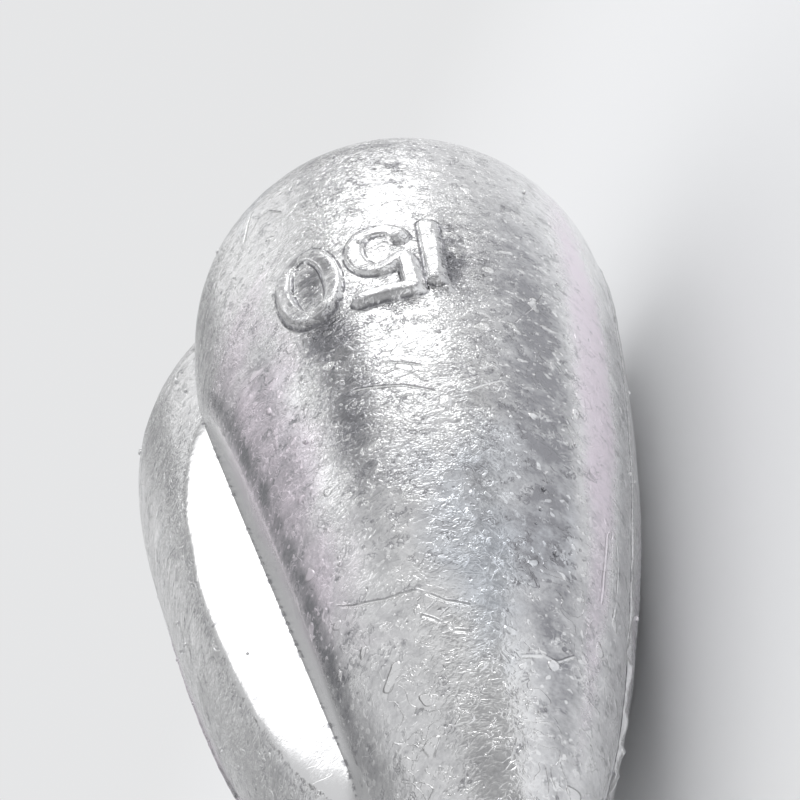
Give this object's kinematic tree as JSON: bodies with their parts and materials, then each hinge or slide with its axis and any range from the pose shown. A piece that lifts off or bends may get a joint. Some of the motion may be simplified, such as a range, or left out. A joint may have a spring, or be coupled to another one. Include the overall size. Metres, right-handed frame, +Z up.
{
  "type": "fishing sinker",
  "caption": "Two-lobed pear-shaped cast lead fishing sinker with grooved faces, a raised weight figure and a brass barrel swivel that turns at its narrow end.",
  "frame": {"origin": "middle of the bounding box's base: the floor point under the middle of the resting sinker", "axes": "+Y along the sinker towards its fat end, with the line eye at -Y; +Z up, towards the groove that faces up when the sinker rests on both lobes; +X across the lobes, towards the numbered lobe"},
  "size_m": [0.0272, 0.0642, 0.0202],
  "materials": {
    "lead": "bare cast lead, bright where the mould was smooth and rough elsewhere",
    "brass": "drawn wire and turned barrel, bright and a little worn"
  },
  "bodies": {
    "lead_body": {"lead_casting": "lead", "cast_in_eye": "brass"},
    "barrel": {"swivel_barrel": "brass"},
    "line_eye": {"line_eye": "brass"}
  },
  "joints": [
    {"name": "barrel_spin", "type": "hinge", "parent": "lead_body", "child": "barrel", "pos_m": [0, -0.0184, 0.00555], "axis": [0, -0.993, -0.1181], "continuous": true},
    {"name": "line_eye_spin", "type": "hinge", "parent": "barrel", "child": "line_eye", "pos_m": [0, -0.02635, 0.0046], "axis": [0, -0.993, -0.1181], "continuous": true}
  ]
}
